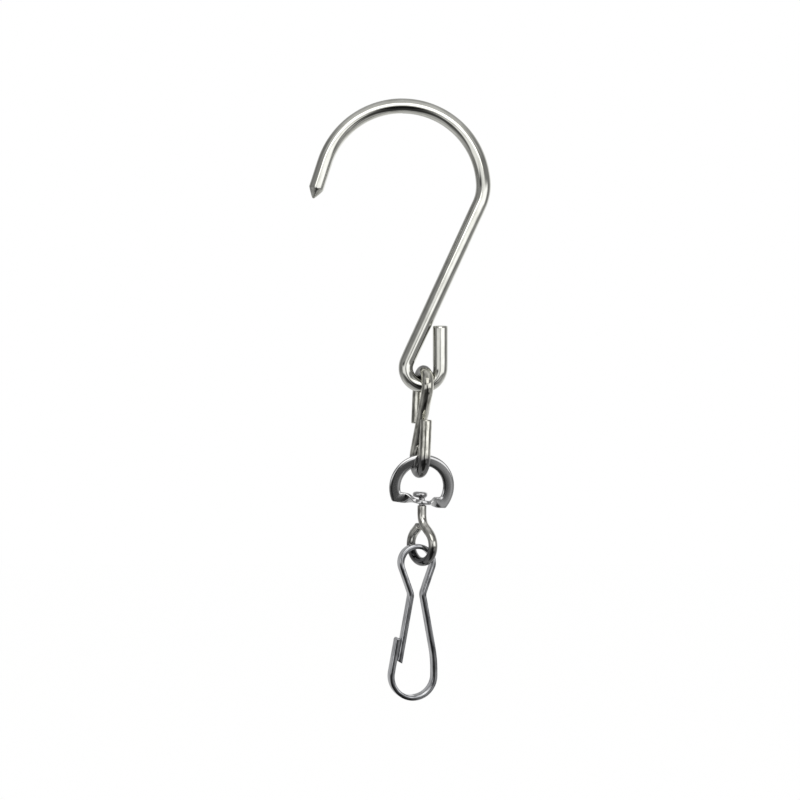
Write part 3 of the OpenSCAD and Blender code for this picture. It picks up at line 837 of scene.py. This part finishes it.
# The tent is a sphere round the hook: its radius times the unit vector of each bearing and
# height. Only what mirrors it sees it.
TENT_R = 0.45
TENT_MIDDLE = (0.0, 0.0, -0.03)
TENT_SIDES = 64
TENT_RINGS = 40
tent_turn, tent_rise = np.meshgrid(np.arange(TENT_SIDES) * 2 * math.pi / TENT_SIDES,
                                   np.radians(np.linspace(-89, 89, TENT_RINGS)), indexing="ij")
tent_way = np.stack([np.cos(tent_rise) * np.cos(tent_turn),
                     np.cos(tent_rise) * np.sin(tent_turn), np.sin(tent_rise)], -1)
tent_points = np.array(TENT_MIDDLE) + TENT_R * tent_way
i, j = np.meshgrid(np.arange(TENT_SIDES), np.arange(TENT_RINGS - 1), indexing="ij")
here, beside = i * TENT_RINGS + j, (i + 1) % TENT_SIDES * TENT_RINGS + j
tent_quads = np.stack([here, beside, beside + 1, here + 1], -1).reshape(-1, 4)
tent_mesh = bpy.data.meshes.new("tent")
tent_mesh.from_pydata(tent_points.reshape(-1, 3).tolist(), [], tent_quads.tolist())
tent = bpy.data.objects.new("tent", tent_mesh)
bpy.context.scene.collection.objects.link(tent)
tent.visible_camera = False
tent.visible_shadow = False
tent.visible_diffuse = False

# The cloth's parts, each laid over the ones before it: its light, its bearing and half
# width, its height and half height, in degrees, and how soft its edge is. Bearings count
# from the camera's side towards +X.
CLOTH_LIGHT = 0.44
CLOTH_PARTS = (
    (0.62, 0, 90, 72, 24, 0.4),         # roof
    (0.20, -92, 38, 14, 32, 0.4),       # dark flag on the left
    (0.24, 86, 30, 12, 32, 0.4),        # dark flag on the right
    (0.58, -180, 52, -14, 36, 0.35),    # grey wall behind the hook, on the left
    (1.05, 180, 60, -8, 36, 0.35),      # white wall behind the hook, on the right
    (0.66, -2, 52, 38, 18, 0.5),        # ceiling over the camera
    (0.28, -60, 26, 14, 12, 0.4),       # grey stand on the left
    (0.10, -46, 14, 5, 6, 0.5),         # dark foot of that stand
    (0.24, 52, 24, 17, 10, 0.5),        # grey stand on the right
    (1.05, -2, 21, 14, 14, 0.4),        # white card above the camera
    (1.05, -32, 24, -6, 8, 0.5),        # white strip on the left
    (1.45, 36, 30, -2, 11, 0.4),        # bright strip on the right
    (0.09, -2, 66, -30, 13, 0.4),       # dark edge of the table
    (0.04, 0, 44, -56, 22, 0.35),       # dark below the table
    (0.45, 44, 14, -28, 8, 0.4),        # grey card on the right of the table
    (0.01, 0, 9, -23, 20, 0.35),        # the camera and its post
)
cloth = bpy.data.materials.new("tent_cloth")
cloth.use_nodes = True
tree = cloth.node_tree
tree.nodes.clear()
where = add(tree, "ShaderNodeNewGeometry").outputs["Position"]
from_centre = add(tree, "ShaderNodeVectorMath", [(0, where), (1, TENT_MIDDLE)],
                  operation="SUBTRACT").outputs[0]
way = add(tree, "ShaderNodeVectorMath", [(0, from_centre)], operation="NORMALIZE").outputs[0]
axes = add(tree, "ShaderNodeSeparateXYZ", [(0, way)])
front = add(tree, "ShaderNodeMath", [(0, axes.outputs["Y"]), (1, -1.0)], operation="MULTIPLY")
azimuth_at = add(tree, "ShaderNodeMath", [(0, axes.outputs["X"]), (1, front.outputs[0])],
                 operation="ARCTAN2").outputs[0]
elevation_at = add(tree, "ShaderNodeMath", [(0, axes.outputs["Z"])],
                   operation="ARCSINE").outputs[0]


def off_middle(angle, middle, half):
    """How far an angle lies from the middle of a range, as a share of its half width."""
    scaled = add(tree, "ShaderNodeMath", [(0, angle), (1, 1 / math.radians(half)),
                                          (2, -middle / half)], operation="MULTIPLY_ADD")
    return add(tree, "ShaderNodeMath", [(0, scaled.outputs[0])], operation="ABSOLUTE").outputs[0]


def lay_part(under, light, azimuth, azimuth_half, elevation, elevation_half, soft):
    """Lays an even part over what is under it. Its edge falls off over `soft` times its
    half width."""
    far = add(tree, "ShaderNodeMath", [(0, off_middle(azimuth_at, azimuth, azimuth_half)),
                                       (1, off_middle(elevation_at, elevation, elevation_half))],
              operation="MAXIMUM").outputs[0]
    cover = add(tree, "ShaderNodeMapRange", [("Value", far)], interpolation_type="SMOOTHSTEP",
                From_Min=1 + soft, From_Max=1 - soft).outputs[0]
    return add(tree, "ShaderNodeMix", [("Factor", cover), (2, under), (3, light)],
               data_type="FLOAT").outputs[0]


light = CLOTH_LIGHT
for part in CLOTH_PARTS:
    light = lay_part(light, *part)
lit = add(tree, "ShaderNodeEmission", [("Color", light)], Strength=1.0)
add(tree, "ShaderNodeOutputMaterial", [("Surface", lit.outputs[0])])
tent_mesh.materials.append(cloth)

# Beyond the floor the camera sees white, as metal does, and the rest is an even grey.
world = bpy.data.worlds.new("studio")
bpy.context.scene.world = world
world.use_nodes = True
tree = world.node_tree
tree.nodes.clear()
grey = add(tree, "ShaderNodeBackground", Color=(0.5, 0.5, 0.5, 1), Strength=1.0)
white = add(tree, "ShaderNodeBackground", Color=(1, 1, 1, 1), Strength=1.0)
both = add(tree, "ShaderNodeMixShader", [(0, white_share(tree, 1.0, 1.0)),
                                         (1, grey.outputs[0]), (2, white.outputs[0])])
add(tree, "ShaderNodeOutputWorld", [("Surface", both.outputs[0])])

# The camera stands level with the middle of the view and looks along +Y.
CAMERA_AWAY = 0.4
VIEW_W = 0.18544
SENSOR_W = 36
camera_data = bpy.data.cameras.new("camera")
camera_data.sensor_width = SENSOR_W
camera_data.lens = SENSOR_W * CAMERA_AWAY / VIEW_W
camera_data.clip_start = 0.01
camera = bpy.data.objects.new("camera", camera_data)
camera.location = (target[0], -CAMERA_AWAY, target[2])
camera.rotation_euler = (math.pi / 2, 0, 0)
bpy.context.scene.collection.objects.link(camera)
bpy.context.scene.camera = camera
bpy.context.scene.view_settings.view_transform = "Standard"

bpy.context.view_layer.update()
